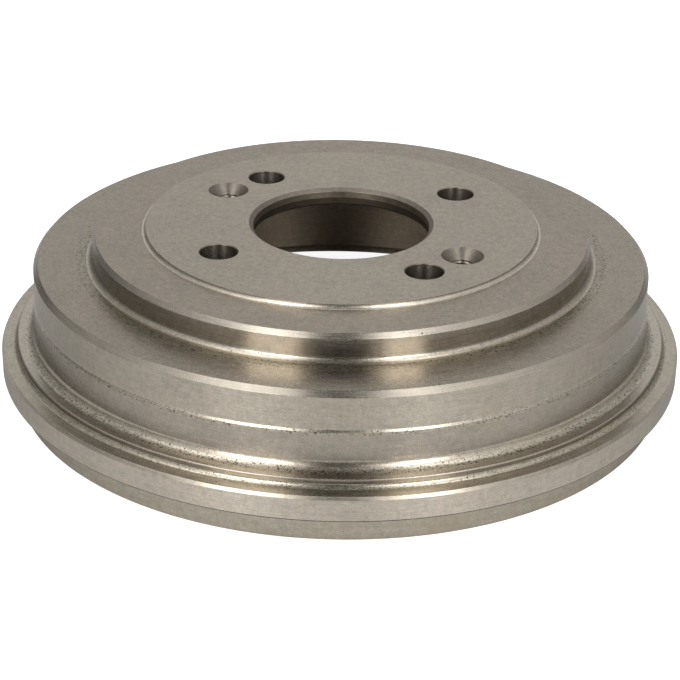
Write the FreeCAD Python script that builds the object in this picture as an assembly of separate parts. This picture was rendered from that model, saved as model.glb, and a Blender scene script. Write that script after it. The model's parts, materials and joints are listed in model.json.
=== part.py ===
import FreeCAD, Part
import math
import os

# Cast-iron brake drum for a small car, one casting machined all over on the outside.
# Millimetres. Z is the drum's axis. The origin is the centre of the open rim, which stands
# on Z = 0, and the wheel face looks along +Z.

# Overall height, from the open rim to the wheel face
DRUM_HEIGHT = 59.7

# Wheel face: the raised flat that the road wheel clamps against
WHEEL_FACE_D = 137.4
WHEEL_FACE_RISE = 1.5
WHEEL_FACE_ROOT_RADIUS = 0.7
PLATE_THICKNESS = 6.5

# Centre bore, which pilots on the hub
CENTRE_BORE_D = 62.0
CENTRE_BORE_CHAMFER = 1.5
CENTRE_BORE_BACK_CHAMFER = 0.8

# Hub seat: the flat machined into the plate's underside, which sits on the hub flange
HUB_SEAT_D = 142.0
HUB_SEAT_DEPTH = 0.8

# Crown: the step between the wheel face and the drum's shoulder
CROWN_D = 175.1
CROWN_HEIGHT = 9.7
CROWN_CHAMFER_WIDTH = 1.2
CROWN_CHAMFER_HEIGHT = 1.75
CROWN_ROOT_RADIUS = 2.2
CROWN_WALL = 7.5
CROWN_INNER_RADIUS = 4.0

# Brake cylinder: the inner wall that the shoes rub on, and the iron around it
FRICTION_D = 203.2
DRUM_WALL = 6.6
SHOULDER_THICKNESS = 7.0
SHOULDER_CHAMFER_WIDTH = 1.6
SHOULDER_CHAMFER_HEIGHT = 1.8
SHOULDER_INNER_RADIUS = 1.5
FRICTION_LEAD_CHAMFER = 1.2
RUNOUT_GROOVE_DEPTH = 0.8
RUNOUT_GROOVE_WIDTH = 2.5
RUNOUT_GROOVE_RADIUS = 0.6

# The outer wall is turned in two bands, the lower one slightly larger
UPPER_BAND_HEIGHT = 12.9
BAND_STEP = 0.45
BAND_STEP_HEIGHT = 0.85

# Stiffening rim: a flat rib round the wall's foot, which stands on the wider flange
RIB_D = 229.8
RIB_RISE = 3.1
RIB_ROOT_RADIUS = 3.4
RIB_EDGE_RADIUS = 0.4
RIB_FOOT_RADIUS = 1.5
FLANGE_D = 241.2
FLANGE_THICKNESS = 8.8
FLANGE_TOP_CHAMFER_WIDTH = 0.55
FLANGE_TOP_CHAMFER_HEIGHT = 1.15
FLANGE_BOTTOM_CHAMFER = 0.3

# Lip below the flange, which runs inside the edge of the backing plate
LIP_D = 230.4
LIP_HEIGHT = 10.0
LIP_WALL = 5.2
LIP_EDGE_RADIUS = 1.0
LIP_INNER_CHAMFER = 0.5
LIP_RECESS_DEPTH = 5.5

# Stud holes on the standard 4 x 100 bolt circle
STUD_CIRCLE_D = 100.0
STUD_COUNT = 4
STUD_HOLE_D = 13.0
STUD_HOLE_CHAMFER = 0.35
FIRST_STUD_ANGLE = 45.0

# Countersunk M8 screw holes, each beside a stud hole on the same circle
SCREW_COUNT = 2
SCREW_HOLE_D = 6.8
SCREW_SINK_D = 14.7
SCREW_SINK_ANGLE = 90.0
SCREW_FROM_STUD_ANGLE = 111.8

# Cutting tools start and end this far outside the metal
TOOL_OVERRUN = 1.0


def unit(start, end):
    """Unit direction from one section point to the next."""
    step = end.sub(start)
    return step.multiply(1.0 / step.Length)


def plain(point):
    """Sharp corner: the section passes through the point itself."""
    return {"point": point, "cut": None}


def bevelled(point, before, after):
    """Corner cut flat, from 'before' ahead of it to 'after' past it."""
    return {"point": point, "cut": "bevel", "before": before, "after": after}


def rounded(point, radius):
    """Corner rounded by an arc tangent to both of its sides."""
    return {"point": point, "cut": "round", "radius": radius}


def at(radius, height):
    """Point of the half section, given as a radius and a height."""
    return FreeCAD.Vector(radius, 0.0, height)


def corner_edges(previous, corner, following):
    """Entry point, exit point and connecting edge of one corner of the section."""
    point = corner["point"]
    back = unit(point, previous["point"])
    ahead = unit(point, following["point"])
    if corner["cut"] is None:
        return point, point, None
    if corner["cut"] == "bevel":
        entry = point + back * corner["before"]
        leave = point + ahead * corner["after"]
        return entry, leave, Part.LineSegment(entry, leave).toShape()
    half_angle = back.getAngle(ahead) / 2.0
    reach = corner["radius"] / math.tan(half_angle)
    entry = point + back * reach
    leave = point + ahead * reach
    inward = back + ahead
    inward.normalize()
    to_arc = corner["radius"] / math.sin(half_angle) - corner["radius"]
    middle = point + inward * to_arc
    return entry, leave, Part.Arc(entry, middle, leave).toShape()


def section_face(corners):
    """Closed face of the half section, with its bevels and rounds."""
    count = len(corners)
    joints = []
    for index, corner in enumerate(corners):
        previous = corners[index - 1]
        following = corners[(index + 1) % count]
        joints.append(corner_edges(previous, corner, following))
    edges = []
    for index, (entry, leave, edge) in enumerate(joints):
        if edge is not None:
            edges.append(edge)
        next_entry = joints[(index + 1) % count][0]
        edges.append(Part.LineSegment(leave, next_entry).toShape())
    return Part.Face(Part.Wire(edges))


def outer_corners():
    """Corners of the outside, from the centre bore over the wheel face down to the rim."""
    bore_r = CENTRE_BORE_D / 2.0
    wheel_face_r = WHEEL_FACE_D / 2.0
    crown_r = CROWN_D / 2.0
    crown_top = DRUM_HEIGHT - WHEEL_FACE_RISE
    shoulder_top = crown_top - CROWN_HEIGHT
    upper_band_r = FRICTION_D / 2.0 + DRUM_WALL
    lower_band_r = upper_band_r + BAND_STEP
    band_edge = shoulder_top - UPPER_BAND_HEIGHT
    flange_r = FLANGE_D / 2.0
    flange_top = LIP_HEIGHT + FLANGE_THICKNESS
    rib_r = RIB_D / 2.0
    rib_top = flange_top + RIB_RISE
    lip_r = LIP_D / 2.0
    return [
        bevelled(at(bore_r, DRUM_HEIGHT), CENTRE_BORE_CHAMFER, CENTRE_BORE_CHAMFER),
        plain(at(wheel_face_r, DRUM_HEIGHT)),
        rounded(at(wheel_face_r, crown_top), WHEEL_FACE_ROOT_RADIUS),
        bevelled(at(crown_r, crown_top), CROWN_CHAMFER_WIDTH, CROWN_CHAMFER_HEIGHT),
        rounded(at(crown_r, shoulder_top), CROWN_ROOT_RADIUS),
        bevelled(at(upper_band_r, shoulder_top), SHOULDER_CHAMFER_WIDTH, SHOULDER_CHAMFER_HEIGHT),
        plain(at(upper_band_r, band_edge)),
        plain(at(lower_band_r, band_edge - BAND_STEP_HEIGHT)),
        rounded(at(lower_band_r, rib_top), RIB_ROOT_RADIUS),
        rounded(at(rib_r, rib_top), RIB_EDGE_RADIUS),
        rounded(at(rib_r, flange_top), RIB_FOOT_RADIUS),
        bevelled(at(flange_r, flange_top), FLANGE_TOP_CHAMFER_WIDTH, FLANGE_TOP_CHAMFER_HEIGHT),
        bevelled(at(flange_r, LIP_HEIGHT), FLANGE_BOTTOM_CHAMFER, FLANGE_BOTTOM_CHAMFER),
        plain(at(lip_r, LIP_HEIGHT)),
        rounded(at(lip_r, 0.0), LIP_EDGE_RADIUS),
    ]


def inner_corners():
    """Corners of the inside, from the rim over the friction surface up to the centre bore."""
    lip_inner_r = LIP_D / 2.0 - LIP_WALL
    friction_r = FRICTION_D / 2.0
    runout_r = friction_r + RUNOUT_GROOVE_DEPTH
    crown_inner_r = CROWN_D / 2.0 - CROWN_WALL
    shoulder_top = DRUM_HEIGHT - WHEEL_FACE_RISE - CROWN_HEIGHT
    shoulder_under = shoulder_top - SHOULDER_THICKNESS
    hub_seat = DRUM_HEIGHT - PLATE_THICKNESS
    plate_under = hub_seat - HUB_SEAT_DEPTH
    hub_seat_r = HUB_SEAT_D / 2.0
    bore_r = CENTRE_BORE_D / 2.0
    back_chamfer = CENTRE_BORE_BACK_CHAMFER
    return [
        bevelled(at(lip_inner_r, 0.0), LIP_INNER_CHAMFER, LIP_INNER_CHAMFER),
        plain(at(lip_inner_r, LIP_RECESS_DEPTH)),
        bevelled(at(friction_r, LIP_RECESS_DEPTH), FRICTION_LEAD_CHAMFER, FRICTION_LEAD_CHAMFER),
        plain(at(friction_r, shoulder_under - RUNOUT_GROOVE_WIDTH)),
        plain(at(runout_r, shoulder_under - RUNOUT_GROOVE_WIDTH + RUNOUT_GROOVE_DEPTH)),
        rounded(at(runout_r, shoulder_under), RUNOUT_GROOVE_RADIUS),
        rounded(at(crown_inner_r, shoulder_under), SHOULDER_INNER_RADIUS),
        rounded(at(crown_inner_r, plate_under), CROWN_INNER_RADIUS),
        plain(at(hub_seat_r, plate_under)),
        plain(at(hub_seat_r - HUB_SEAT_DEPTH, hub_seat)),
        bevelled(at(bore_r, hub_seat), back_chamfer, back_chamfer),
    ]


def turned_body():
    """The whole casting before drilling: its half section turned about the axis."""
    face = section_face(outer_corners() + inner_corners())
    return face.revolve(FreeCAD.Vector(0, 0, 0), FreeCAD.Vector(0, 0, 1), 360.0)


def drill(angle, hole_d, sink_d, sink_depth, back_sink_depth):
    """Tool that bores one hole through the plate and opens its mouth as a cone."""
    circle_r = STUD_CIRCLE_D / 2.0
    turn = math.radians(angle)
    foot = FreeCAD.Vector(circle_r * math.cos(turn), circle_r * math.sin(turn), 0.0)
    bottom = DRUM_HEIGHT - PLATE_THICKNESS
    hole_r = hole_d / 2.0
    sink_r = sink_d / 2.0
    flare = (sink_r - hole_r) / sink_depth
    start = foot + FreeCAD.Vector(0, 0, bottom - TOOL_OVERRUN)
    length = PLATE_THICKNESS + 2.0 * TOOL_OVERRUN
    tool = Part.makeCylinder(hole_r, length, start)
    cone_foot = foot + FreeCAD.Vector(0, 0, DRUM_HEIGHT - sink_depth)
    cone_top_r = sink_r + flare * TOOL_OVERRUN
    cone = Part.makeCone(hole_r, cone_top_r, sink_depth + TOOL_OVERRUN, cone_foot)
    tool = tool.fuse(cone)
    if back_sink_depth > 0.0:
        back_r = hole_r + back_sink_depth + TOOL_OVERRUN
        back = Part.makeCone(back_r, hole_r, back_sink_depth + TOOL_OVERRUN, start)
        tool = tool.fuse(back)
    return tool


def stud_hole_tools():
    """Clearance holes for the wheel studs, evenly spaced, chamfered at both ends."""
    tools = []
    mouth_d = STUD_HOLE_D + 2.0 * STUD_HOLE_CHAMFER
    for index in range(STUD_COUNT):
        angle = FIRST_STUD_ANGLE + index * 360.0 / STUD_COUNT
        tools.append(drill(angle, STUD_HOLE_D, mouth_d, STUD_HOLE_CHAMFER, STUD_HOLE_CHAMFER))
    return tools


def screw_hole_tools():
    """Countersunk tapping holes, evenly spaced, at a set angle from the first stud hole."""
    tools = []
    half_cone = math.radians(SCREW_SINK_ANGLE / 2.0)
    sink_depth = (SCREW_SINK_D - SCREW_HOLE_D) / 2.0 / math.tan(half_cone)
    for index in range(SCREW_COUNT):
        angle = FIRST_STUD_ANGLE + SCREW_FROM_STUD_ANGLE + index * 360.0 / SCREW_COUNT
        tools.append(drill(angle, SCREW_HOLE_D, SCREW_SINK_D, sink_depth, 0.0))
    return tools


def brake_drum():
    """The finished drum: the turned body with its stud and screw holes."""
    body = turned_body()
    for tool in stud_hole_tools() + screw_hole_tools():
        body = body.cut(tool)
    return body.removeSplitter()


os.makedirs("parts", exist_ok=True)
drum = brake_drum()
drum.exportStep("parts/brake_drum.step")
print("brake_drum", "valid", drum.isValid(), "solids", len(drum.Solids), "volume_mm3", round(drum.Volume, 1))
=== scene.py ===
"""Visual model of a bare cast-iron brake drum, machined all over, standing on its open rim.

Lengths are metres unless a name or a docstring says millimetres. Z is the drum's axis, the open
rim stands on Z = 0 and the wheel face looks up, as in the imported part.
"""

from __future__ import annotations

import json
import logging
import math
from dataclasses import dataclass, field
from enum import Enum
from functools import reduce

import bmesh
import bpy
from mathutils import Matrix, Vector

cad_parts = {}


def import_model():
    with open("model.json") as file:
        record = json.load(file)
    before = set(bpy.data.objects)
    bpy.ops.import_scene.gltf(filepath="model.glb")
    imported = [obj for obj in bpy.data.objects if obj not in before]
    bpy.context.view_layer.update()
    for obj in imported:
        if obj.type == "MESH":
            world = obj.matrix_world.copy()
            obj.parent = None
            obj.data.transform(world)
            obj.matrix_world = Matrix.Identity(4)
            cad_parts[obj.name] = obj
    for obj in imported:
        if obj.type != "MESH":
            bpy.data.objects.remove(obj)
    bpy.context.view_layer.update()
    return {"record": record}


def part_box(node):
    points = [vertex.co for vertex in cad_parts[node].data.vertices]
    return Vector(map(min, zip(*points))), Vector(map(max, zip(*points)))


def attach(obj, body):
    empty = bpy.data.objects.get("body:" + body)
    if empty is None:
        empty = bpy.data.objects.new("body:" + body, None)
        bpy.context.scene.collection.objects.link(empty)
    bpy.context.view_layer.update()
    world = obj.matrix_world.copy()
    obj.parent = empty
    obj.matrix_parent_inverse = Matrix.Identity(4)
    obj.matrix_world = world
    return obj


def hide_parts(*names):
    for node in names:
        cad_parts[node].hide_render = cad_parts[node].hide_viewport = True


MM = 0.001
MERGE_REACH = 0.0005 * MM
FLAT_REACH = 0.0001 * MM
SHARP_ANGLE = math.radians(50.0)
NOISE_LOW, NOISE_HIGH = 0.3, 0.7
NODE = "brake_drum"
BODY = "root"
LOG = logging.getLogger("brake_drum")

Colour = tuple[float, float, float]
Socket = bpy.types.NodeSocket

# Rounds of edges that have no name of their own, in millimetres
SOFT_EDGE = 0.2
TURNED_EDGE = 0.15
FINE_EDGE = 0.1
MOUTH_EDGE = 0.08
KEEN_EDGE = 0.05

# Headings in the camera's frame, and how far that frame is turned about the drum's axis
TO_CAMERA = Vector((0.0, -1.0, 0.0))
TO_RIGHT = Vector((1.0, 0.0, 0.0))
VIEW_TURN = math.radians(11.62)


class Finish(Enum):
    """Zones of the casting that differ in how they were cut, and three zones tinted dark as painted shade;
    the value is the material slot.
    """

    WHEEL_FACE = 0
    CROWN_TOP = 1
    CROWN_WALL = 2
    SHOULDER = 3
    BAND = 4
    COVE = 5
    RIB = 6
    FLANGE = 7
    LIP = 8
    FRICTION = 9
    AS_CAST = 10
    BORE = 11
    DRILLED = 12
    EDGE = 13
    FLANGE_TOP = 14
    RIB_FOOT = 15
    FILLET = 16
    RIB_WALL = 17
    MOUTH = 18
    # Painted shade: the bore wall below its land and its back chamfer, tinted dark
    BORE_LOWER_SHADE = 19
    # Painted shade: the flange's underside and lower round, tinted dark as the shadow in the gap over the lip
    SEAM = 20
    LEDGE = 21
    STEP_ROOT = 22
    FLANGE_EDGE = 23
    # Painted shade: the band below the ledge, a darker copy of the band for the shaded floor it reflects
    SHADED_LOWER_BAND = 24
    SINK = 25
    BAND_EDGE = 26
    SHOULDER_ROOT = 27


@dataclass(frozen=True)
class Ramp:
    """A stretch of one number that maps onto a stretch of another, held at both ends.

    Attributes:
        low: Where the stretch starts.
        high: Where it ends.
        start: The result at low.
        end: The result at high.
        smooth: Whether the change eases in and out.
    """

    low: float
    high: float
    start: float = 0.0
    end: float = 1.0
    smooth: bool = False


class ShaderGraph:
    """Adds and joins the nodes of one material, with a few words for the sums it needs."""

    def __init__(self, tree: bpy.types.NodeTree) -> None:
        """Starts from an empty tree.

        Args:
            tree: The node tree to fill.
        """
        self.tree = tree
        tree.nodes.clear()

    def node(self, kind: str, **settings: object) -> bpy.types.Node:
        """Adds one node.

        Args:
            kind: Blender's name of the node type.
            settings: Values for the node's own properties.

        Returns:
            The new node.
        """
        made = self.tree.nodes.new(kind)
        for key, value in settings.items():
            setattr(made, key, value)
        return made

    def feed(self, target: Socket, value: object) -> None:
        """Links a socket to another, or sets its number or vector.

        Args:
            target: The input socket.
            value: An output socket, a number or a tuple.
        """
        if isinstance(value, bpy.types.NodeSocket):
            self.tree.links.new(value, target)
        else:
            target.default_value = value

    def calc(self, operation: str, *values: object, clamp: bool = False) -> Socket:
        """Does one step of arithmetic on numbers.

        Args:
            operation: The Math node's operation.
            values: Its one to three inputs, as sockets or numbers.
            clamp: Whether the result is kept between 0 and 1.

        Returns:
            The result's socket.
        """
        made = self.node("ShaderNodeMath", operation=operation, use_clamp=clamp)
        for target, value in zip(made.inputs, values):
            self.feed(target, value)
        return made.outputs[0]

    def product(self, *values: object) -> Socket:
        """Multiplies two or more numbers, from left to right."""
        return reduce(lambda first, second: self.calc("MULTIPLY", first, second), values)

    def total(self, *values: object) -> Socket:
        """Adds two or more numbers, from left to right."""
        return reduce(lambda first, second: self.calc("ADD", first, second), values)

    def ramp(self, value: Socket, stretch: Ramp) -> Socket:
        """Maps a number along a ramp.

        Args:
            value: The number to map.
            stretch: The ramp.

        Returns:
            The mapped number's socket.
        """
        made = self.node("ShaderNodeMapRange", clamp=True)
        made.interpolation_type = "SMOOTHSTEP" if stretch.smooth else "LINEAR"
        self.feed(made.inputs["Value"], value)
        ends = (stretch.low, stretch.high, stretch.start, stretch.end)
        for name, number in zip(("From Min", "From Max", "To Min", "To Max"), ends):
            made.inputs[name].default_value = number
        return made.outputs["Result"]

    def swing(self, noise: Socket, middle: float, reach: float) -> Socket:
        """Maps a noise's usual spread onto a number that swings about a middle."""
        return self.ramp(noise, Ramp(NOISE_LOW, NOISE_HIGH, middle - reach, middle + reach))

    def steer(self, operation: str, *values: object) -> bpy.types.Node:
        """Does one step of arithmetic on vectors.

        Args:
            operation: The Vector Math node's operation.
            values: Its inputs, as sockets or vectors.

        Returns:
            The node. Its first output is a vector, and the one called Value is a number.
        """
        made = self.node("ShaderNodeVectorMath", operation=operation)
        for target, value in zip(made.inputs, values):
            self.feed(target, value)
        return made

    def toward(self, where: Socket, heading: Vector) -> Socket:
        """How far a place or direction of the drum's frame lies along a heading of the camera's."""
        return self.steer("DOT_PRODUCT", where, around(heading)).outputs["Value"]

    def split(self, where: Socket) -> list[Socket]:
        """Takes a place or direction apart.

        Args:
            where: The place or direction.

        Returns:
            The sockets of its three numbers.
        """
        made = self.node("ShaderNodeSeparateXYZ")
        self.feed(made.inputs[0], where)
        return list(made.outputs)

    def vector(self, *values: object) -> Socket:
        """Joins three numbers.

        Args:
            values: The numbers, plain or as sockets.

        Returns:
            The vector's socket.
        """
        made = self.node("ShaderNodeCombineXYZ")
        for target, value in zip(made.inputs, values):
            self.feed(target, value)
        return made.outputs[0]

    def noise(self, where: Socket, scale: float, detail: float = 2.0, rough: float = 0.5) -> Socket:
        """Smooth random number, about 0.5 on average.

        Args:
            where: The point that it is read at.
            scale: Features per unit of that point.
            detail: How many finer layers are added.
            rough: How strong the finer layers are.

        Returns:
            The number's socket.
        """
        made = self.node("ShaderNodeTexNoise", noise_dimensions="3D")
        self.feed(made.inputs["Vector"], where)
        made.inputs["Scale"].default_value = scale
        made.inputs["Detail"].default_value = detail
        made.inputs["Roughness"].default_value = rough
        return made.outputs["Fac"]

    def blend(self, share: object, first: object, second: object, mode: str = "MIX") -> Socket:
        """Mixes two colours.

        Args:
            share: How much of the second one shows, from 0 to 1.
            first: The lower colour.
            second: The upper colour.
            mode: How they are combined.

        Returns:
            The mixed colour's socket.
        """
        made = self.node("ShaderNodeMix", data_type="RGBA", blend_type=mode)
        self.feed(made.inputs[0], share)
        for target, value in ((made.inputs[6], first), (made.inputs[7], second)):
            if isinstance(value, tuple):
                value = (*value, 1.0)
            self.feed(target, value)
        return made.outputs[2]

    def tone(self, value: Socket) -> Socket:
        """Turns a number into a grey.

        Args:
            value: The number.

        Returns:
            The grey colour's socket.
        """
        made = self.node("ShaderNodeCombineColor")
        for target in made.inputs:
            self.feed(target, value)
        return made.outputs[0]

    def output(self, surface: Socket, kind: str = "ShaderNodeOutputMaterial") -> None:
        """Ends the tree in its output node.

        Args:
            surface: The shader that shows.
            kind: Blender's name of the output node.
        """
        self.feed(self.node(kind).inputs["Surface"], surface)


def around(point: Vector) -> Vector:
    """Turns a point or direction of the camera's frame into the drum's frame."""
    return Matrix.Rotation(VIEW_TURN, 3, "Z") @ point


@dataclass(frozen=True)
class IronFinish:
    """Bare grey iron as one cut or cast zone of the drum shows it.

    Attributes:
        tint: Colour of the clean metal, tinted dark on a few zones as painted shade.
        roughness: Mean roughness of the surface.
        anisotropy: How far the turning marks stretch a highlight across themselves.
        mark_pitch: Width of a visible turning mark.
        mark_depth: Height of the marks in the bump.
        mark_tone: How much the marks lighten and darken the metal.
        grain: Contrast of the fine speckle.
        mottling: Contrast of the cloudiness a few millimetres across.
        pit_share: Share of the small cells that hold a pore.
        pit_size: Radius of a pore as a share of its cell.
        speckle: How dark the fine torn spots are, nothing on a cleanly cut zone.
        stain: How much brown film lies on the zone.
        in_hole: Whether the marks run round the hole's axis and not the drum's.
        relief: Height of the sand-cast skin, nothing on a machined zone.
    """

    tint: Colour = (0.47, 0.425, 0.36)
    roughness: float = 0.4
    anisotropy: float = 0.6
    mark_pitch: float = 0.5 * MM
    mark_depth: float = 0.004 * MM
    mark_tone: float = 0.10
    grain: float = 0.16
    mottling: float = 0.10
    pit_share: float = 0.0015
    pit_size: float = 0.25
    speckle: float = 0.0
    stain: float = 0.15
    in_hole: bool = False
    relief: float = 0.0

    def material(self, title: str) -> bpy.types.Material:
        """Builds the finish as a material.

        Args:
            title: The material's name.

        Returns:
            The new material.
        """
        made = bpy.data.materials.new(title)
        made.use_nodes = True
        IronGraph(made.node_tree, self).build()
        return made


class IronGraph(ShaderGraph):
    """Shader of one iron finish. Its patterns are made once and shared by colour, roughness and bump."""

    # Sizes of what shows on the metal
    PIT_CELL = 0.9 * MM
    PIT_DEPTH = 0.06 * MM
    SPECKLE_SIZE = 0.75 * MM
    GRAIN_SIZE = 0.45 * MM
    SAND_SIZE = 1.6 * MM
    MOTTLE_SIZE = 2.2 * MM
    PATCH_SIZE = 16.0 * MM
    MARKS_ROUND = 9.0
    QUARTER_TURN = 0.25

    # A pore's radius lies between these shares of the finish's pit_size, and its edge is soft
    PIT_SMALL, PIT_LARGE = 0.45, 1.4
    PIT_EDGE = Ramp(0.75, 1.15, 1.0, 0.0, smooth=True)

    # Levels of the noise between which torn spots and the brown film set in
    TORN_FROM, TORN_TO = 0.55, 0.63
    FILM_FROM, FILM_TO = 0.45, 0.75

    # How patches and mottling change the metal's level and hue
    PATCH_LEVEL = Ramp(0.35, 0.65, 0.95, 1.05)
    WARMTH = Ramp(0.35, 0.65)
    COOL_CAST = (0.992, 1.002, 0.995)
    WARM_CAST = (1.019, 0.995, 0.995)
    STAIN_TINT = (0.30, 0.235, 0.165)
    PIT_TINT = (0.075, 0.058, 0.040)

    # What marks, grain and pores add to the roughness, and the grain's height as a share of the marks'
    MARK_ROUGH, GRAIN_ROUGH, PIT_ROUGH = 0.04, 0.03, 0.25
    GRAIN_HEIGHT = 0.5

    def __init__(self, tree: bpy.types.NodeTree, look: IronFinish) -> None:
        """Lays the patterns of the surface.

        Args:
            tree: The node tree to fill.
            look: The finish that it shows.
        """
        super().__init__(tree)
        self.look = look
        self.point = self.node("ShaderNodeTexCoord").outputs["Object"]
        self.marks = self.turning_marks()
        self.grain = self.noise(self.point, 1.0 / self.GRAIN_SIZE, detail=2.0, rough=0.6)
        self.patches = self.noise(self.point, 1.0 / self.PATCH_SIZE, detail=4.0, rough=0.55)
        self.mottle = self.noise(self.point, 1.0 / self.MOTTLE_SIZE, detail=3.0, rough=0.6)
        self.pits = self.pores()

    def build(self) -> None:
        """Joins the patterns into a shader of bare metal."""
        shader = self.node("ShaderNodeBsdfPrincipled")
        shader.inputs["Metallic"].default_value = 1.0
        shader.inputs["Anisotropic"].default_value = self.look.anisotropy
        shader.inputs["Anisotropic Rotation"].default_value = self.QUARTER_TURN
        for name, value in (("Tangent", self.tangent()), ("Base Color", self.colour()),
                            ("Roughness", self.rough()), ("Normal", self.bump())):
            self.feed(shader.inputs[name], value)
        self.output(shader.outputs["BSDF"])

    def tangent(self) -> Socket:
        """Finds the direction that the tool ran in, round the drum's axis or the hole's own.

        Returns:
            The direction's socket.
        """
        if not self.look.in_hole:
            return self.node("ShaderNodeTangent", direction_type="RADIAL", axis="Z").outputs[0]
        normal = self.node("ShaderNodeTexCoord").outputs["Normal"]
        return self.steer("CROSS_PRODUCT", normal, (0.0, 0.0, 1.0)).outputs[0]

    def turning_marks(self) -> Socket:
        """Makes long thin streaks that run round the axis, as a lathe tool leaves them.

        Returns:
            A number about 0.5 on average.
        """
        x, y, height = self.split(self.point)
        radius = self.steer("LENGTH", self.vector(x, y, 0.0)).outputs["Value"]
        # Radius less height grows all the way along the outside, on faces and walls alike
        row = self.calc("DIVIDE", self.calc("SUBTRACT", radius, height), self.look.mark_pitch)
        turn_x = self.product(self.calc("DIVIDE", x, radius), self.MARKS_ROUND)
        turn_y = self.product(self.calc("DIVIDE", y, radius), self.MARKS_ROUND)
        return self.noise(self.vector(row, turn_x, turn_y), 1.0, detail=3.0, rough=0.65)

    def pores(self) -> Socket:
        """Scatters open pores, each in a cell of its own.

        Returns:
            A mask that is 1 inside a pore and 0 on sound metal.
        """
        cells = self.node("ShaderNodeTexVoronoi", voronoi_dimensions="3D", feature="F1")
        self.feed(cells.inputs["Vector"], self.point)
        cells.inputs["Scale"].default_value = 1.0 / self.PIT_CELL
        draws = self.node("ShaderNodeSeparateColor")
        self.feed(draws.inputs[0], cells.outputs["Color"])
        chosen = self.calc("LESS_THAN", draws.outputs[0], self.look.pit_share)
        sizes = Ramp(0.0, 1.0, self.PIT_SMALL * self.look.pit_size, self.PIT_LARGE * self.look.pit_size)
        inside = self.calc("DIVIDE", cells.outputs["Distance"], self.ramp(draws.outputs[1], sizes))
        return self.product(self.ramp(inside, self.PIT_EDGE), chosen)

    def dark_spots(self) -> Socket:
        """Adds the fine spots where the tool tore the iron to the pores.

        Returns:
            The mask of everything dark.
        """
        if self.look.speckle <= 0.0:
            return self.pits
        fine = self.noise(self.point, 1.0 / self.SPECKLE_SIZE, detail=2.0, rough=0.7)
        torn = self.ramp(fine, Ramp(self.TORN_FROM, self.TORN_TO, 0.0, self.look.speckle))
        return self.calc("MAXIMUM", self.pits, torn)

    def colour(self) -> Socket:
        """Tints the metal with its marks, speckle, brown film and pores.

        Returns:
            The colour's socket.
        """
        lines = self.swing(self.marks, 1.0, self.look.mark_tone)
        specks = self.swing(self.grain, 1.0, self.look.grain)
        clouds = self.swing(self.mottle, 1.0, self.look.mottling)
        level = self.product(lines, specks, self.ramp(self.patches, self.PATCH_LEVEL), clouds)
        hue = self.blend(self.ramp(self.mottle, self.WARMTH), self.COOL_CAST, self.WARM_CAST)
        metal = self.blend(1.0, self.look.tint, hue, "MULTIPLY")
        metal = self.blend(1.0, metal, self.tone(level), "MULTIPLY")
        film = self.ramp(self.patches, Ramp(self.FILM_FROM, self.FILM_TO, 0.0, self.look.stain, smooth=True))
        return self.blend(self.dark_spots(), self.blend(film, metal, self.STAIN_TINT), self.PIT_TINT)

    def rough(self) -> Socket:
        """Makes the roughness a little uneven with marks and speckle, and dull in the pores.

        Returns:
            The roughness socket.
        """
        even = self.total(self.swing(self.marks, self.look.roughness, self.MARK_ROUGH),
                          self.swing(self.grain, 0.0, self.GRAIN_ROUGH))
        return self.calc("ADD", even, self.product(self.pits, self.PIT_ROUGH), clamp=True)

    def bump(self) -> Socket:
        """Raises marks and speckle, sinks the pores and roughens what is left as cast.

        Returns:
            The bent normal's socket.
        """
        height = self.product(self.marks, self.look.mark_depth)
        height = self.calc("MULTIPLY_ADD", self.grain, self.GRAIN_HEIGHT * self.look.mark_depth, height)
        height = self.calc("MULTIPLY_ADD", self.pits, -self.PIT_DEPTH, height)
        if self.look.relief > 0.0:
            sand = self.noise(self.point, 1.0 / self.SAND_SIZE, detail=4.0, rough=0.6)
            height = self.calc("MULTIPLY_ADD", sand, self.look.relief, height)
        made = self.node("ShaderNodeBump")
        made.inputs["Strength"].default_value = 1.0
        made.inputs["Distance"].default_value = 1.0
        self.feed(made.inputs["Height"], height)
        return made.outputs["Normal"]


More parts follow.
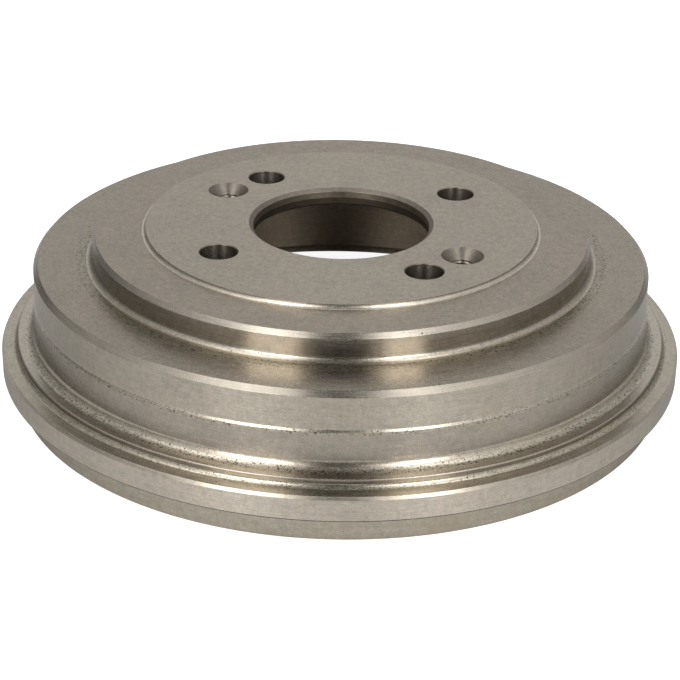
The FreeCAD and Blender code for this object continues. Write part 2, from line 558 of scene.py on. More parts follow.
FINISHES: dict[Finish, IronFinish] = {
    Finish.WHEEL_FACE: IronFinish(
        tint=(0.44, 0.397, 0.332), roughness=0.42, anisotropy=0.35, pit_share=0.0006,
        speckle=0.10, grain=0.20),
    Finish.CROWN_TOP: IronFinish(
        tint=(0.385, 0.340, 0.281), roughness=0.38, anisotropy=0.4, pit_share=0.001,
        speckle=0.18, grain=0.22),
    Finish.CROWN_WALL: IronFinish(
        tint=(0.395, 0.36, 0.306), roughness=0.20, anisotropy=0.8, pit_share=0.0005),
    Finish.SHOULDER: IronFinish(
        tint=(0.362, 0.322, 0.264), roughness=0.25, anisotropy=0.75, grain=0.24, speckle=0.28),
    Finish.BAND: IronFinish(tint=(0.425, 0.387, 0.325), roughness=0.34, anisotropy=0.85, pit_share=0.003),
    Finish.COVE: IronFinish(
        tint=(0.56, 0.516, 0.425), roughness=0.26, anisotropy=0.3, pit_share=0.20, pit_size=0.21,
        speckle=0.90, grain=0.20),
    Finish.RIB: IronFinish(tint=(0.51, 0.467, 0.402), roughness=0.25, anisotropy=0.6, pit_share=0.01),
    Finish.FLANGE: IronFinish(roughness=0.36, anisotropy=0.85, pit_share=0.0005),
    Finish.LIP: IronFinish(
        tint=(0.39, 0.358, 0.295), roughness=0.42, anisotropy=0.5, stain=0.4, pit_share=0.002),
    Finish.FRICTION: IronFinish(tint=(0.56, 0.46, 0.34), roughness=0.42, anisotropy=0.9, pit_share=0.0),
    Finish.AS_CAST: IronFinish(
        tint=(0.20, 0.19, 0.175), roughness=0.62, anisotropy=0.0, pit_share=0.05, relief=0.12 * MM),
    Finish.BORE: IronFinish(tint=(0.35, 0.30, 0.236), roughness=0.42, anisotropy=0.6),
    Finish.DRILLED: IronFinish(
        tint=(0.33, 0.292, 0.25), roughness=0.32, anisotropy=0.8, pit_share=0.0, in_hole=True),
    Finish.EDGE: IronFinish(roughness=0.26, anisotropy=0.4, grain=0.08, mottling=0.05, pit_share=0.006),
    Finish.FLANGE_TOP: IronFinish(
        tint=(0.50, 0.457, 0.381), roughness=0.29, anisotropy=0.7, pit_share=0.01, stain=0.3),
    Finish.RIB_FOOT: IronFinish(
        tint=(0.53, 0.484, 0.39), roughness=0.24, anisotropy=0.4, pit_share=0.14, pit_size=0.2, speckle=0.55),
    Finish.FILLET: IronFinish(
        tint=(0.53, 0.475, 0.385), roughness=0.24, anisotropy=0.5, pit_share=0.08, pit_size=0.19,
        speckle=0.28),
    Finish.RIB_WALL: IronFinish(
        tint=(0.305, 0.274, 0.223), roughness=0.18, anisotropy=0.8, pit_share=0.005),
    Finish.MOUTH: IronFinish(tint=(0.245, 0.218, 0.184), roughness=0.5, anisotropy=0.0, grain=0.08),
    # Painted shade on the bore below its land: the darkness is in this tint
    Finish.BORE_LOWER_SHADE: IronFinish(tint=(0.135, 0.107, 0.08), roughness=0.5, anisotropy=0.3),
    # Painted shade under the flange: the gap's shadow is painted into this tint
    Finish.SEAM: IronFinish(tint=(0.09, 0.078, 0.06), roughness=0.45, anisotropy=0.3),
    Finish.LEDGE: IronFinish(
        tint=(0.555, 0.508, 0.425), roughness=0.29, anisotropy=0.5, pit_share=0.20, pit_size=0.2,
        speckle=0.5),
    Finish.STEP_ROOT: IronFinish(
        tint=(0.66, 0.61, 0.52), roughness=0.28, anisotropy=0.3, grain=0.10, pit_share=0.02),
    Finish.FLANGE_EDGE: IronFinish(tint=(0.52, 0.472, 0.388), roughness=0.31, anisotropy=0.4, grain=0.08),
    # Painted shade: the band's tint darkened for the shaded floor that this lower band reflects
    Finish.SHADED_LOWER_BAND: IronFinish(
        tint=(0.34, 0.308, 0.261), roughness=0.24, anisotropy=0.85, pit_share=0.003),
    Finish.SINK: IronFinish(
        tint=(0.25, 0.224, 0.19), roughness=0.42, anisotropy=0.4, pit_share=0.0, in_hole=True),
    Finish.BAND_EDGE: IronFinish(
        tint=(0.40, 0.364, 0.30), roughness=0.32, anisotropy=0.8, pit_share=0.20, pit_size=0.2, speckle=0.95),
    Finish.SHOULDER_ROOT: IronFinish(
        tint=(0.375, 0.346, 0.272), roughness=0.30, anisotropy=0.6, pit_share=0.08, speckle=1.0, grain=0.24),
}


@dataclass(frozen=True)
class Corner:
    """Corner of the half section.

    Attributes:
        radius: Distance from the axis, in millimetres.
        height: Height above the rim, in millimetres.
        finish: Finish of the stretch that starts here.
        fillet: Radius that rounds the corner, in millimetres.
        steps: How many straight pieces make that round.
        fillet_finish: Finish of the round itself, where it isn't that of the stretch before it.
        lead_steps: How many of the round's first pieces still wear the finish before it.
    """

    radius: float
    height: float
    finish: Finish
    fillet: float = 0.12
    steps: int = 2
    fillet_finish: Finish | None = None
    lead_steps: int = 0


@dataclass
class HolePlan:
    """One drilled hole through the plate.

    Attributes:
        centre: Its axis where it crosses Z = 0.
        corners: Its half section round that axis, from the wheel face down to the hub seat.
    """

    centre: Vector
    corners: list[Corner]


@dataclass
class DrumCasting:
    """The whole drum as one closed skin. Sizes are millimetres.

    Attributes:
        record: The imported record, which gives the mounts' sizes.
        low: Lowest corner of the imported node, in metres.
        high: Its highest corner, in metres.
        sectors: Sectors in a full turn about the drum's axis, a power of two.
        sector_steps: Steps in one of them.
        hole_steps: Steps in a full turn about a hole's axis.
        first_stud: Angle of the first stud hole, in degrees.
    """

    record: dict
    low: Vector
    high: Vector
    sectors: int = 16
    sector_steps: int = 40
    hole_steps: int = 72

    wheel_face_r: float = 68.7
    wheel_face_rise: float = 1.5
    wheel_face_root: float = 1.25
    plate: float = 6.5
    bore_chamfer: float = 1.5
    bore_chamfer_depth: float = 1.1
    bore_land: float = 2.3
    bore_back_chamfer: float = 0.8
    hub_seat_r: float = 71.0
    hub_seat_depth: float = 0.8
    crown_r: float = 87.55
    crown_height: float = 9.7
    crown_chamfer: tuple[float, float] = (1.2, 1.75)
    crown_root: float = 2.2
    crown_wall: float = 7.5
    crown_inner_fillet: float = 4.0
    crown_mouth: float = 1.5
    drum_wall: float = 6.6
    shoulder: float = 7.0
    shoulder_chamfer: tuple[float, float] = (1.6, 1.8)
    friction_lead: float = 1.2
    runout_depth: float = 0.8
    runout_width: float = 2.5
    runout_root: float = 0.6
    upper_band: float = 12.9
    band_step: float = 0.45
    band_step_height: float = 0.85
    ledge_round: float = 0.5
    ledge_foot: float = 0.3
    torn_strip: float = 0.9
    torn_shoulder: float = 3.6
    rib_r: float = 114.9
    rib_rise: float = 3.1
    rib_root: float = 3.4
    rib_edge: float = 0.4
    rib_foot: float = 1.7
    flange: float = 8.8
    flange_chamfer: tuple[float, float] = (0.55, 1.15)
    flange_foot: float = 0.45
    lip_r: float = 115.2
    lip_height: float = 10.0
    lip_wall: float = 5.2
    lip_edge: float = 1.0
    lip_inner_edge: float = 0.4
    lip_recess: float = 5.5
    recess_root: float = 0.3
    mouth_land: float = 0.5
    stud_chamfer: float = 0.35
    first_stud: float = 45.0
    sink_r: float = 7.35
    thread_r: float = 4.0
    thread_pitch: float = 1.25
    thread_lead: float = 0.65
    thread_bite: float = 0.03
    ridge_foot: float = 0.44
    ridge_crest: float = 0.10
    flange_r: float = field(init=False)
    height: float = field(init=False)

    def __post_init__(self) -> None:
        """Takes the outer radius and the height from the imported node's box."""
        reach = min(self.high.x, self.high.y, -self.low.x, -self.low.y)
        self.flange_r = reach / MM
        self.height = self.high.z / MM

    def mount(self, name: str) -> dict:
        """The record's mount of that name."""
        return next(m for m in self.record["mounts"] if m["name"] == name)

    def outside(self) -> list[Corner]:
        """Half section from the wheel face's edge over the outside, the rim and the friction wall.

        Returns:
            The corners in order, ending at the hub seat's edge.
        """
        friction_r = self.mount("friction_surface")["dims"]["r_mm"]
        crown_top = self.height - self.wheel_face_rise
        shoulder_top = crown_top - self.crown_height
        upper_r = friction_r + self.drum_wall
        lower_r = upper_r + self.band_step
        step_z = shoulder_top - self.upper_band
        ledge_z = step_z - self.band_step_height
        flange_top = self.lip_height + self.flange
        rib_top = flange_top + self.rib_rise
        # The rib's root is two eighth-rounds that all but meet, so that its pitted lower half has a
        # finish of its own
        half_root = self.rib_root * (1.0 - math.tan(math.radians(22.5)))
        root_round = 0.998 * self.rib_root
        top_w, top_h = self.flange_chamfer
        lip_inner_r = self.lip_r - self.lip_wall
        runout_r = friction_r + self.runout_depth
        under = shoulder_top - self.shoulder
        crown_inner_r = self.crown_r - self.crown_wall
        seat = self.height - self.plate
        plate_under = seat - self.hub_seat_depth
        cut_w, cut_h = self.crown_chamfer
        edge_w, edge_h = self.shoulder_chamfer
        return [
            Corner(self.wheel_face_r, self.height, Finish.CROWN_WALL, TURNED_EDGE),
            Corner(self.wheel_face_r, crown_top, Finish.CROWN_TOP, self.wheel_face_root, 6, Finish.STEP_ROOT),
            Corner(self.crown_r - cut_w, crown_top, Finish.EDGE, SOFT_EDGE),
            Corner(self.crown_r, crown_top - cut_h, Finish.CROWN_WALL, SOFT_EDGE),
            Corner(self.crown_r, shoulder_top, Finish.SHOULDER_ROOT, self.crown_root, 8, Finish.FILLET, 2),
            Corner(self.crown_r + self.crown_root + self.torn_shoulder, shoulder_top, Finish.SHOULDER, 0.0),
            Corner(upper_r - edge_w, shoulder_top, Finish.EDGE, SOFT_EDGE),
            Corner(upper_r, shoulder_top - edge_h, Finish.BAND, SOFT_EDGE),
            Corner(upper_r, step_z, Finish.LEDGE, self.ledge_round, 3),
            Corner(lower_r, ledge_z, Finish.BAND_EDGE, self.ledge_foot, 3),
            # Below the torn strip the band wears a darker tint as painted shade
            Corner(lower_r, ledge_z - self.torn_strip, Finish.SHADED_LOWER_BAND, 0.0),
            Corner(lower_r, rib_top + half_root, Finish.COVE, root_round, 5, Finish.FILLET, 1),
            Corner(lower_r + half_root, rib_top, Finish.RIB, root_round, 5, Finish.COVE),
            Corner(self.rib_r, rib_top, Finish.RIB_WALL, self.rib_edge, 4, Finish.EDGE),
            Corner(self.rib_r, flange_top, Finish.FLANGE_TOP, self.rib_foot, 8, Finish.RIB_FOOT, 1),
            Corner(self.flange_r - top_w, flange_top, Finish.FLANGE_EDGE, TURNED_EDGE),
            Corner(self.flange_r, flange_top - top_h, Finish.FLANGE, TURNED_EDGE),
            # The flange's underside and lower round wear painted shade
            Corner(self.flange_r, self.lip_height, Finish.SEAM, self.flange_foot, 3, Finish.SEAM),
            Corner(self.lip_r, self.lip_height, Finish.LIP, TURNED_EDGE),
            Corner(self.lip_r, 0.0, Finish.LIP, self.lip_edge, 4),
            Corner(lip_inner_r, 0.0, Finish.FRICTION, self.lip_inner_edge),
            Corner(lip_inner_r, self.lip_recess, Finish.FRICTION, self.recess_root),
            Corner(friction_r + self.friction_lead, self.lip_recess, Finish.FRICTION, TURNED_EDGE),
            Corner(friction_r, self.lip_recess + self.friction_lead, Finish.FRICTION, TURNED_EDGE),
            Corner(friction_r, under - self.runout_width, Finish.FRICTION, TURNED_EDGE),
            Corner(runout_r, under - self.runout_width + self.runout_depth, Finish.FRICTION, TURNED_EDGE),
            Corner(runout_r, under, Finish.AS_CAST, self.runout_root, 3),
            Corner(crown_inner_r, under, Finish.AS_CAST, self.crown_mouth, 4),
            Corner(crown_inner_r, plate_under, Finish.AS_CAST, self.crown_inner_fillet, 5),
            Corner(self.hub_seat_r, plate_under, Finish.BORE, FINE_EDGE),
            Corner(self.hub_seat_r - self.hub_seat_depth, seat, Finish.BORE, 0.0),
        ]

    def bore(self) -> list[Corner]:
        """Half section of the centre bore.

        Returns:
            The corners in order, from the wheel face down to the hub seat.
        """
        bore_r = self.mount("centre_bore")["dims"]["r_mm"]
        seat = self.height - self.plate
        mouth_r = bore_r + self.bore_chamfer
        back_r = bore_r + self.bore_back_chamfer
        land_top = self.height - self.bore_chamfer_depth
        return [
            Corner(mouth_r + self.mouth_land, self.height, Finish.WHEEL_FACE, 0.0),
            Corner(mouth_r, self.height, Finish.MOUTH),
            Corner(bore_r, land_top, Finish.BORE, TURNED_EDGE),
            # Below the land the bore wall and its back chamfer wear painted shade
            Corner(bore_r, land_top - self.bore_land, Finish.BORE_LOWER_SHADE, 0.0),
            Corner(bore_r, seat + self.bore_back_chamfer, Finish.BORE_LOWER_SHADE, TURNED_EDGE),
            Corner(back_r, seat, Finish.BORE),
            Corner(back_r + self.mouth_land, seat, Finish.BORE, 0.0),
        ]

    def stud_holes(self) -> list[HolePlan]:
        """Plans the wheel stud holes, evenly spaced on the record's bolt circle.

        Returns:
            A plan for each hole.
        """
        dims = self.mount("stud_holes")["dims"]
        circle_r = dims["pcd_mm"] / 2.0 * MM
        hole_r = dims["hole_r_mm"]
        seat = self.height - self.plate
        mouth_r = hole_r + self.stud_chamfer
        plans = []
        for index in range(dims["count"]):
            turn = math.radians(self.first_stud + index * 360.0 / dims["count"])
            centre = Vector((circle_r * math.cos(turn), circle_r * math.sin(turn), 0.0))
            plans.append(HolePlan(centre, [
                Corner(mouth_r + self.mouth_land, self.height, Finish.WHEEL_FACE, 0.0),
                Corner(mouth_r, self.height, Finish.MOUTH, MOUTH_EDGE),
                Corner(hole_r, self.height - self.stud_chamfer, Finish.DRILLED, FINE_EDGE),
                Corner(hole_r, seat + self.stud_chamfer, Finish.DRILLED, FINE_EDGE),
                Corner(mouth_r, seat, Finish.DRILLED, MOUTH_EDGE),
                Corner(mouth_r + self.mouth_land, seat, Finish.BORE, 0.0),
            ]))
        return plans

    def screw_holes(self) -> list[HolePlan]:
        """Plans the countersunk screw holes, bored to the thread's outer radius.

        Returns:
            A plan for each hole, the left one first.
        """
        seat = self.height - self.plate
        sink_depth = self.sink_r - self.thread_r
        plans = []
        for name in ("screw_hole_left", "screw_hole_right"):
            place = self.mount(name)["pos_m"]
            plans.append(HolePlan(Vector((place[0], place[1], 0.0)), [
                Corner(self.sink_r + self.mouth_land, self.height, Finish.WHEEL_FACE, 0.0),
                Corner(self.sink_r, self.height, Finish.SINK, FINE_EDGE),
                Corner(self.thread_r, self.height - sink_depth, Finish.DRILLED, KEEN_EDGE),
                Corner(self.thread_r, seat, Finish.DRILLED, MOUTH_EDGE),
                Corner(self.thread_r + self.mouth_land, seat, Finish.BORE, 0.0),
            ]))
        return plans

    def lay_outline(self, bm: bmesh.types.BMesh, corners: list[Corner], centre: Vector,
                    layer: bmesh.types.BMLayerItem) -> None:
        """Draws a half section as a wire and rounds its corners.

        Args:
            bm: The mesh that it is drawn in.
            corners: The section's corners.
            centre: The axis that it stands beside.
            layer: Edge layer that keeps each stretch's finish.
        """
        places = [centre + Vector((c.radius * MM, 0.0, c.height * MM)) for c in corners]
        verts = [bm.verts.new(place) for place in places]
        for corner, pair in zip(corners, zip(verts, verts[1:])):
            bm.edges.new(pair)[layer] = corner.finish.value
        for index in range(1, len(corners) - 1):
            corner = corners[index]
            if corner.fillet <= 0.0:
                continue
            start = places[index - 1]
            angle = (start - places[index]).angle(places[index + 1] - places[index])
            arc = bmesh.ops.bevel(bm, geom=[verts[index]], offset=corner.fillet * MM / math.tan(angle / 2.0),
                                  offset_type="OFFSET", segments=corner.steps, profile=0.5,
                                  affect="VERTICES", material=-1)
            if corner.fillet_finish is None:
                continue
            pieces = sorted(arc["edges"], key=lambda e, s=start: sum((v.co - s).length for v in e.verts))
            for place, edge in enumerate(pieces):
                worn = corners[index - 1].finish if place < corner.lead_steps else corner.fillet_finish
                edge[layer] = worn.value

    def turn(self, corners: list[Corner], centre: Vector, steps: int, copies: int) -> bmesh.types.BMesh:
        """Turns a half section into a skin, one stretch of finish after another.

        Args:
            corners: The section's corners.
            centre: The axis that it is turned about.
            steps: Steps in one sector.
            copies: Sectors in the full turn, a power of two.

        Returns:
            The turned skin, its seams merged.
        """
        bm = bmesh.new()
        layer = bm.edges.layers.int.new("finish")
        self.lay_outline(bm, corners, centre, layer)
        sector = 2.0 * math.pi / copies
        wires = [(e, e[layer]) for e in bm.edges]
        for value in sorted({v for _, v in wires}):
            chain = [e for e, v in wires if v == value]
            ends = list({v for e in chain for v in e.verts})
            before = len(bm.faces)
            bmesh.ops.spin(bm, geom=ends + chain, cent=centre, axis=(0, 0, 1), dvec=(0, 0, 0), angle=sector,
                           steps=steps, use_merge=copies == 1, use_duplicate=False)
            bm.faces.ensure_lookup_table()
            for face in bm.faces[before:]:
                face.material_index = value
        # Each doubling adds as many sectors as there are, turned on past them
        for doubling in range(int(math.log2(copies))):
            made = bmesh.ops.duplicate(bm, geom=bm.verts[:] + bm.edges[:] + bm.faces[:])
            moved = [v for v in made["geom"] if isinstance(v, bmesh.types.BMVert)]
            onward = Matrix.Rotation(sector * 2 ** doubling, 3, "Z")
            bmesh.ops.rotate(bm, cent=centre, matrix=onward, verts=moved)
        bmesh.ops.remove_doubles(bm, verts=bm.verts[:], dist=MERGE_REACH)
        return bm

    def fill_plane(self, bm: bmesh.types.BMesh, height: float, finish: Finish) -> None:
        """Closes the open loops at one height with a flat face that leaves the holes open.

        Args:
            bm: The drum's mesh.
            height: Height of the flat, in millimetres.
            finish: The flat's finish.
        """
        rims = [e for e in bm.edges
                if e.is_boundary and all(abs(v.co.z - height * MM) < FLAT_REACH for v in e.verts)]
        before = set(bm.faces)
        bmesh.ops.triangle_fill(bm, use_beauty=True, use_dissolve=False, edges=rims, normal=(0, 0, 1))
        for face in bm.faces:
            if face not in before:
                face.material_index = finish.value

    def build(self) -> bpy.types.Object:
        """Makes the drum's skin.

        Returns:
            The drum as one object.
        """
        axis = Vector((0.0, 0.0, 0.0))
        whole = self.turn(self.outside(), axis, self.sector_steps, self.sectors)
        parts = [self.turn(self.bore(), axis, self.sector_steps, self.sectors)]
        for plan in self.stud_holes() + self.screw_holes():
            parts.append(self.turn(plan.corners, plan.centre, self.hole_steps, 1))
        for part in parts:
            join_into(whole, part)
        self.fill_plane(whole, self.height, Finish.WHEEL_FACE)
        self.fill_plane(whole, self.height - self.plate, Finish.BORE)
        bmesh.ops.remove_doubles(whole, verts=whole.verts[:], dist=MERGE_REACH)
        bmesh.ops.recalc_face_normals(whole, faces=whole.faces[:])
        open_edges = sum(1 for e in whole.edges if not e.is_manifold)
        LOG.info("drum skin: %d faces, %d open edges", len(whole.faces), open_edges)
        return finished_object("drum_casting", whole)

    def thread(self, name: str, centre: Vector) -> bpy.types.Object:
        """Internal thread of one screw hole: a helical ridge cut back by the countersink.

        Args:
            name: The piece's name.
            centre: The hole's axis where it crosses Z = 0.

        Returns:
            The ridge as one object.
        """
        tap_r = self.mount("screw_hole_left")["dims"]["r_mm"]
        seat = self.height - self.plate
        root_r = self.thread_r + self.thread_bite
        cone_foot = self.height - (self.sink_r - self.thread_r)
        foot = seat - self.thread_lead
        # Half a turn more than the bore is long, so that the ridge ends within the cone
        turns = math.ceil((cone_foot - foot) / self.thread_pitch + 0.5)
        half_foot = self.ridge_foot * self.thread_pitch
        half_crest = self.ridge_crest * self.thread_pitch
        bm = bmesh.new()
        shape = ((root_r, -half_foot), (tap_r, -half_crest), (tap_r, half_crest), (root_r, half_foot))
        verts = [bm.verts.new(centre + Vector((r * MM, 0.0, (foot + z) * MM))) for r, z in shape]
        face = bm.faces.new(verts)
        bmesh.ops.spin(bm, geom=[face] + list(face.edges) + list(face.verts), cent=centre, axis=(0, 0, 1),
                       dvec=(0, 0, self.thread_pitch * MM / self.hole_steps), angle=2.0 * math.pi * turns,
                       steps=self.hole_steps * turns, use_merge=False, use_duplicate=False)
        for vert in bm.verts:
            away = vert.co - centre
            level = max(away.z / MM, seat)
            flat = Vector((away.x, away.y, 0.0))
            # The countersink has cut the ridge away wherever it would stand in the cone
            reach = max(flat.length / MM, root_r + level - cone_foot)
            vert.co = centre + flat.normalized() * reach * MM + Vector((0.0, 0.0, level * MM))
        bmesh.ops.recalc_face_normals(bm, faces=bm.faces[:])
        for made in bm.faces:
            made.material_index = Finish.DRILLED.value
        return finished_object(name, bm)

    def dress(self, piece: bpy.types.Object) -> None:
        """Gives a piece every finish, in the order of their slots.

        Args:
            piece: The piece, as yet without a material.
        """
        for finish in Finish:
            title = f"iron_{finish.name.lower()}"
            material = bpy.data.materials.get(title) or FINISHES[finish].material(title)
            piece.data.materials.append(material)


def placed(name: str, data: bpy.types.ID) -> bpy.types.Object:
    """Puts data into the scene as an object.

    Args:
        name: The object's name.
        data: Its mesh, light or camera.

    Returns:
        The object.
    """
    made = bpy.data.objects.new(name, data)
    bpy.context.scene.collection.objects.link(made)
    return made


def join_into(target: bmesh.types.BMesh, source: bmesh.types.BMesh) -> None:
    """Adds one mesh to another and frees it.

    Args:
        target: The mesh that grows.
        source: The mesh that is used up.
    """
    carrier = bpy.data.meshes.new("carrier")
    source.to_mesh(carrier)
    source.free()
    target.from_mesh(carrier)
    bpy.data.meshes.remove(carrier)


def finished_object(name: str, bm: bmesh.types.BMesh) -> bpy.types.Object:
    """Turns a mesh into an object whose flats shade flat and whose fillets shade round.

    Args:
        name: The object's name.
        bm: Its mesh, which is used up.

    Returns:
        The object, with its place in its mesh and no live modifier.
    """
    mesh = bpy.data.meshes.new(name)
    for face in bm.faces:
        face.smooth = True
    bm.to_mesh(mesh)
    bm.free()
    made = placed(name, mesh)
    mesh.set_sharp_from_angle(angle=SHARP_ANGLE)
    weighted = made.modifiers.new("face_weight", "WEIGHTED_NORMAL")
    weighted.keep_sharp = True
    weighted.weight = 100
    bpy.context.view_layer.update()
    shaded = bpy.data.meshes.new_from_object(made.evaluated_get(bpy.context.evaluated_depsgraph_get()))
    made.modifiers.clear()
    made.data = shaded
    bpy.data.meshes.remove(mesh)
    shaded.name = name
    return made


@dataclass(frozen=True)
class FloorPaper:
    """White paper: soft shadows from its diffuse part, a painted contact shadow beside the rim, white to the
    camera and a set glow to the metal.

    Attributes:
        paper: Grey of its diffuse part.
        contact: Painted shadow right beside the rim, in the white the camera sees, over the distance from the
            axis.
        hidden: Where the drum covers the floor, no shade is wanted.
        past_rim: Where the glow starts.
        by_heading: The glow from behind the drum to the camera's side.
        by_side: What the glow gains to the right.
        close: How near the drum its own shade lies.
        close_depth: How deep that shade is, from the sides to the camera's side.
        far: How the glow falls off.
    """

    paper: float = 0.5
    contact: Ramp = Ramp(0.112, 0.140, 0.92, 1.0)
    hidden: Ramp = Ramp(0.100, 0.110, 1.0, 0.0)
    past_rim: Ramp = Ramp(0.100, 0.118)
    by_heading: Ramp = Ramp(-0.1, 0.95, 0.12, 0.60, smooth=True)
    by_side: Ramp = Ramp(-1.0, 1.0, 0.0, 0.02)
    close: Ramp = Ramp(0.135, 0.195, 1.0, 0.0)
    close_depth: Ramp = Ramp(0.0, 0.95, 0.75, 0.08)
    far: Ramp = Ramp(0.205, 0.34, 1.0, 0.22)

    def material(self) -> bpy.types.Material:
        """Builds the paper as a material.

        Returns:
            The floor's material.
        """
        made = bpy.data.materials.new("floor_paper")
        made.use_nodes = True
        graph = ShaderGraph(made.node_tree)
        point = graph.node("ShaderNodeTexCoord").outputs["Object"]
        radius = graph.steer("LENGTH", point).outputs["Value"]
        rays = graph.node("ShaderNodeLightPath").outputs
        # The camera's white is dimmed beside the rim as a painted contact shadow
        beside = graph.calc("MAXIMUM", graph.ramp(radius, self.contact), graph.ramp(radius, self.hidden))
        seen = graph.product(rays["Is Camera Ray"], beside)
        mirrored = graph.product(graph.calc("MAXIMUM", rays["Is Glossy Ray"], rays["Is Transmission Ray"]),
                                 graph.ramp(radius, self.past_rim), self.glow(graph, point, radius))
        light = graph.node("ShaderNodeEmission")
        graph.feed(light.inputs["Strength"], graph.calc("MAXIMUM", seen, mirrored))
        diffuse = graph.node("ShaderNodeBsdfDiffuse")
        diffuse.inputs["Color"].default_value = (self.paper, self.paper, self.paper, 1.0)
        both = graph.node("ShaderNodeAddShader")
        graph.feed(both.inputs[0], light.outputs[0])
        graph.feed(both.inputs[1], diffuse.outputs[0])
        # From below the paper is clear, so that it hides nothing
        choice = graph.node("ShaderNodeMixShader")
        graph.feed(choice.inputs[0], graph.node("ShaderNodeNewGeometry").outputs["Backfacing"])
        graph.feed(choice.inputs[1], both.outputs[0])
        graph.feed(choice.inputs[2], graph.node("ShaderNodeBsdfTransparent").outputs[0])
        graph.output(choice.outputs[0])
        return made

    def glow(self, graph: ShaderGraph, point: Socket, radius: Socket) -> Socket:
        """How bright the metal sees the paper.

        Args:
            graph: The material's graph.
            point: The place on the floor.
            radius: Its distance from the axis.

        Returns:
            The brightness, where 1 is white.
        """
        way_out = graph.steer("NORMALIZE", point).outputs[0]
        forward = graph.toward(way_out, TO_CAMERA)
        rightward = graph.toward(way_out, TO_RIGHT)
        open_floor = graph.total(graph.ramp(forward, self.by_heading), graph.ramp(rightward, self.by_side))
        shade = graph.product(graph.ramp(radius, self.close), graph.ramp(forward, self.close_depth))
        return graph.product(open_floor, graph.calc("SUBTRACT", 1.0, shade), graph.ramp(radius, self.far))


@dataclass(frozen=True)
class Room:
    """Light of the room by direction: a dark gap over the camera, panels beside it, a lit back wall.

    Attributes:
        sides: The walls from behind the drum to its sides.
        front: What the walls gain towards the camera.
        low: The walls near the floor.
        high: What they gain overhead.
        tilt: What they gain from left to right.
        back_wall: The lit wall straight behind the drum.
        over_camera: Where the camera's side begins, for the gap and the panels.
        gap: The dark gap between the panels, over the distance from the middle.
        inner: Inner edge of both panels, over the same distance.
        left_edge: Outer edge of the left panel.
        right_edge: Outer edge of the right panel.
        foot: Foot of the panels, over the height.
        head: Their brighter head.
        level: How bright the whole room is to the drum.
    """

    sides: Ramp = Ramp(-0.7, 0.1, 0.58, 0.82)
    front: Ramp = Ramp(0.1, 0.6, 0.0, 0.44)
    low: Ramp = Ramp(0.0, 0.35, 0.30, 0.80)
    high: Ramp = Ramp(0.35, 0.65, 0.0, 0.20)
    tilt: Ramp = Ramp(-1.0, 1.0, -0.09, 0.09)
    back_wall: Ramp = Ramp(-0.995, -0.82, 0.38, 0.0, smooth=True)
    over_camera: Ramp = Ramp(-0.30, -0.08)
    gap: Ramp = Ramp(0.13, 0.27, 0.08, 1.0, smooth=True)
    inner: Ramp = Ramp(0.16, 0.25)
    left_edge: Ramp = Ramp(0.48, 0.70, 1.0, 0.0)
    right_edge: Ramp = Ramp(0.38, 0.46, 1.0, 0.0)
    foot: Ramp = Ramp(0.28, 0.42)
    head: Ramp = Ramp(0.78, 0.92, 0.0, 1.2)
    level: float = 0.8

    def world(self) -> bpy.types.World:
        """Builds the room as a world, which is plain white to the camera.

        Returns:
            The new world.
        """
        made = bpy.data.worlds.new("room")
        made.use_nodes = True
        graph = ShaderGraph(made.node_tree)
        direction = graph.node("ShaderNodeTexCoord").outputs["Generated"]
        x, y, height = graph.split(direction)
        flat = graph.steer("NORMALIZE", graph.vector(x, y, 0.0)).outputs[0]
        over_camera = graph.ramp(graph.toward(direction, TO_CAMERA), self.over_camera)
        sideways = graph.toward(direction, TO_RIGHT)
        facing = graph.toward(flat, TO_CAMERA)
        walls = graph.product(self.pair(graph, facing, self.sides, self.front),
                              self.pair(graph, height, self.low, self.high))
        walls = graph.total(walls, graph.ramp(graph.toward(flat, TO_RIGHT), self.tilt))
        panels = graph.product(self.panels(graph, sideways), self.pair(graph, height, self.foot, self.head),
                               over_camera)
        gap = graph.calc("SUBTRACT", graph.ramp(graph.calc("ABSOLUTE", sideways), self.gap), 1.0)
        gap = graph.total(1.0, graph.product(over_camera, gap))
        lit = graph.product(graph.total(walls, panels), gap)
        lit = graph.product(graph.total(lit, graph.ramp(facing, self.back_wall)), self.level)
        back = graph.node("ShaderNodeBackground")
        back.inputs["Color"].default_value = (1.0, 1.0, 1.0, 1.0)
        seen = graph.node("ShaderNodeLightPath").outputs["Is Camera Ray"]
        graph.feed(back.inputs["Strength"], graph.calc("MAXIMUM", lit, seen))
        graph.output(back.outputs[0], "ShaderNodeOutputWorld")
        return made

    def pair(self, graph: ShaderGraph, value: Socket, first: Ramp, second: Ramp) -> Socket:
        """Adds two ramps of the same number."""
        return graph.total(graph.ramp(value, first), graph.ramp(value, second))

    def panels(self, graph: ShaderGraph, sideways: Socket) -> Socket:
        """Width of the two long panels that lean over the drum from the camera's side.

        Args:
            graph: The world's graph.
            sideways: How far a direction points to the right.

        Returns:
            1 on a panel and 0 beside it.
        """
        leftways = graph.product(sideways, -1.0)
        left = graph.product(graph.ramp(leftways, self.inner), graph.ramp(leftways, self.left_edge))
        right = graph.product(graph.ramp(sideways, self.inner), graph.ramp(sideways, self.right_edge))
        return graph.total(left, right)


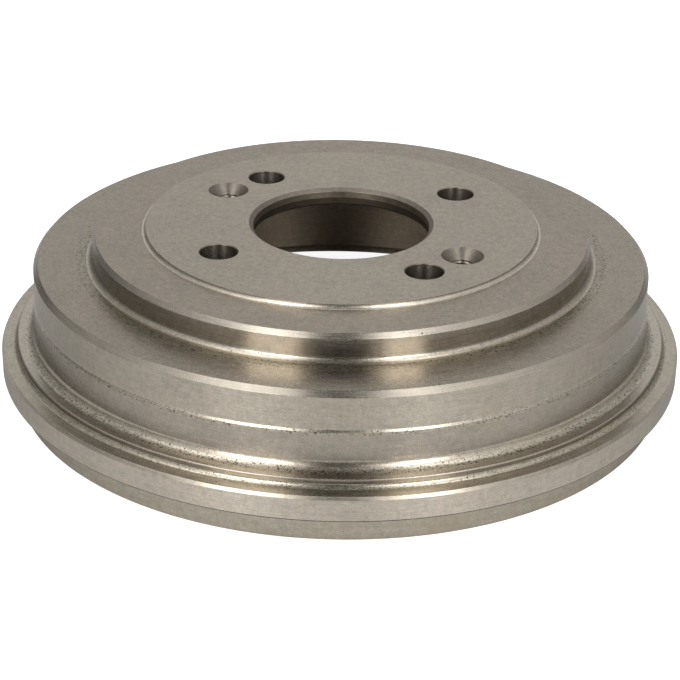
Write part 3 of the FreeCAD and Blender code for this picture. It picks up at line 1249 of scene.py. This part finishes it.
@dataclass(frozen=True)
class Softbox:
    """One upright rectangular softbox that looks at the drum.

    Attributes:
        name: The light's name.
        azimuth: Degrees to the right of the camera, as seen from the camera.
        width: Width of the box.
        radiance: How bright its face looks, where 1 is white.
        height: Height of the box.
        elevation: Degrees above the floor.
        distance: From the drum's middle.
        aim: Height of the point that it looks at.
    """

    name: str
    azimuth: float
    width: float
    radiance: float
    height: float = 0.64
    elevation: float = 21.5
    distance: float = 1.4
    aim: float = 0.04

    def hang(self) -> bpy.types.Object:
        """Hangs the softbox in the scene.

        Returns:
            The light.
        """
        data = bpy.data.lights.new(self.name, "AREA")
        data.shape = "RECTANGLE"
        data.size, data.size_y = self.width, self.height
        data.energy = self.radiance * math.pi * self.width * self.height
        made = placed(self.name, data)
        turn, lift = math.radians(self.azimuth - 90.0), math.radians(self.elevation)
        level = Vector((math.cos(turn), math.sin(turn), 0.0)) * math.cos(lift)
        away = around(level + Vector((0.0, 0.0, math.sin(lift))))
        made.location = Vector((0.0, 0.0, self.aim)) + away * self.distance
        made.rotation_mode = "QUATERNION"
        made.rotation_quaternion = away.to_track_quat("Z", "Y")
        made.visible_camera = False
        return made


@dataclass
class Studio:
    """White floor, the room, two softboxes and the camera of the product photograph.

    Attributes:
        distance: Distance from the camera to its aim.
        elevation: Angle that the camera looks down at, in radians.
        roll: Its roll, in radians.
        aim: The point that it looks at, to the right of the drum's axis and up from the floor.
        focal_px: Focal length in the photograph's pixels.
        centre_px: The pixel that the aim falls on.
        image_px: Width and height of the photograph.
        sensor_mm: Width of the camera's sensor.
        floor_r: Radius of the floor.
        softboxes: The lights.
    """

    distance: float = 706.654 * MM
    elevation: float = 0.44941
    roll: float = 0.011782
    aim: tuple[float, float] = (-6.886 * MM, 19.703 * MM)
    focal_px: float = 1957.8
    centre_px: tuple[float, float] = (320.474, 323.610)
    image_px: float = 680.0
    sensor_mm: float = 36.0
    floor_r: float = 6.0
    softboxes: tuple[Softbox, ...] = (
        Softbox("softbox_left", azimuth=-29.5, width=0.51, radiance=3.8),
        Softbox("softbox_right", azimuth=27.5, width=0.38, radiance=4.0),
    )

    def camera(self) -> bpy.types.Object:
        """Places the camera as the photograph's was.

        Returns:
            The camera.
        """
        sin_e, cos_e = math.sin(self.elevation), math.cos(self.elevation)
        aim = Vector((self.aim[0], 0.0, self.aim[1]))
        ahead = Vector((0.0, cos_e, -sin_e))
        up = Vector((0.0, sin_e, cos_e))
        x_axis = math.cos(self.roll) * TO_RIGHT + math.sin(self.roll) * up
        y_axis = -math.sin(self.roll) * TO_RIGHT + math.cos(self.roll) * up
        data = bpy.data.cameras.new("camera")
        data.sensor_width = self.sensor_mm
        data.lens = self.focal_px / self.image_px * self.sensor_mm
        data.shift_x = (self.image_px / 2.0 - self.centre_px[0]) / self.image_px
        data.shift_y = (self.centre_px[1] - self.image_px / 2.0) / self.image_px
        data.clip_start = 0.05
        data.clip_end = 50.0
        made = placed("camera", data)
        axes = [around(v) for v in (x_axis, y_axis, -ahead)]
        place = around(aim - ahead * self.distance)
        made.matrix_world = Matrix.Translation(place) @ Matrix(axes).transposed().to_4x4()
        bpy.context.scene.camera = made
        return made

    def floor(self) -> bpy.types.Object:
        """Lays the white floor.

        Returns:
            The floor.
        """
        bm = bmesh.new()
        bmesh.ops.create_circle(bm, cap_ends=True, segments=64, radius=self.floor_r)
        mesh = bpy.data.meshes.new("floor")
        bm.to_mesh(mesh)
        bm.free()
        made = placed("floor", mesh)
        mesh.materials.append(FloorPaper().material())
        return made

    def build(self) -> None:
        """Sets up the floor, the room, the lights and the camera."""
        self.floor()
        bpy.context.scene.world = Room().world()
        for softbox in self.softboxes:
            softbox.hang()
        self.camera()


def main() -> None:
    """Loads the frame, builds the drum and the studio, and logs each piece's polygon count."""
    logging.basicConfig(level=logging.INFO, format="%(name)s: %(message)s")
    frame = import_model()
    low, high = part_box(NODE)
    casting = DrumCasting(record=frame["record"], low=low, high=high)
    drum = casting.build()
    pieces = [drum]
    for side, plan in zip(("left", "right"), casting.screw_holes()):
        pieces.append(casting.thread(f"screw_thread_{side}", plan.centre))
    for piece in pieces:
        casting.dress(piece)
        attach(piece, BODY)
        LOG.info("%s: %d polygons", piece.name, len(piece.data.polygons))
    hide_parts(NODE)
    Studio().build()
    bpy.context.scene.view_settings.view_transform = "Standard"
    bpy.context.view_layer.update()


if __name__ == "__main__":
    main()
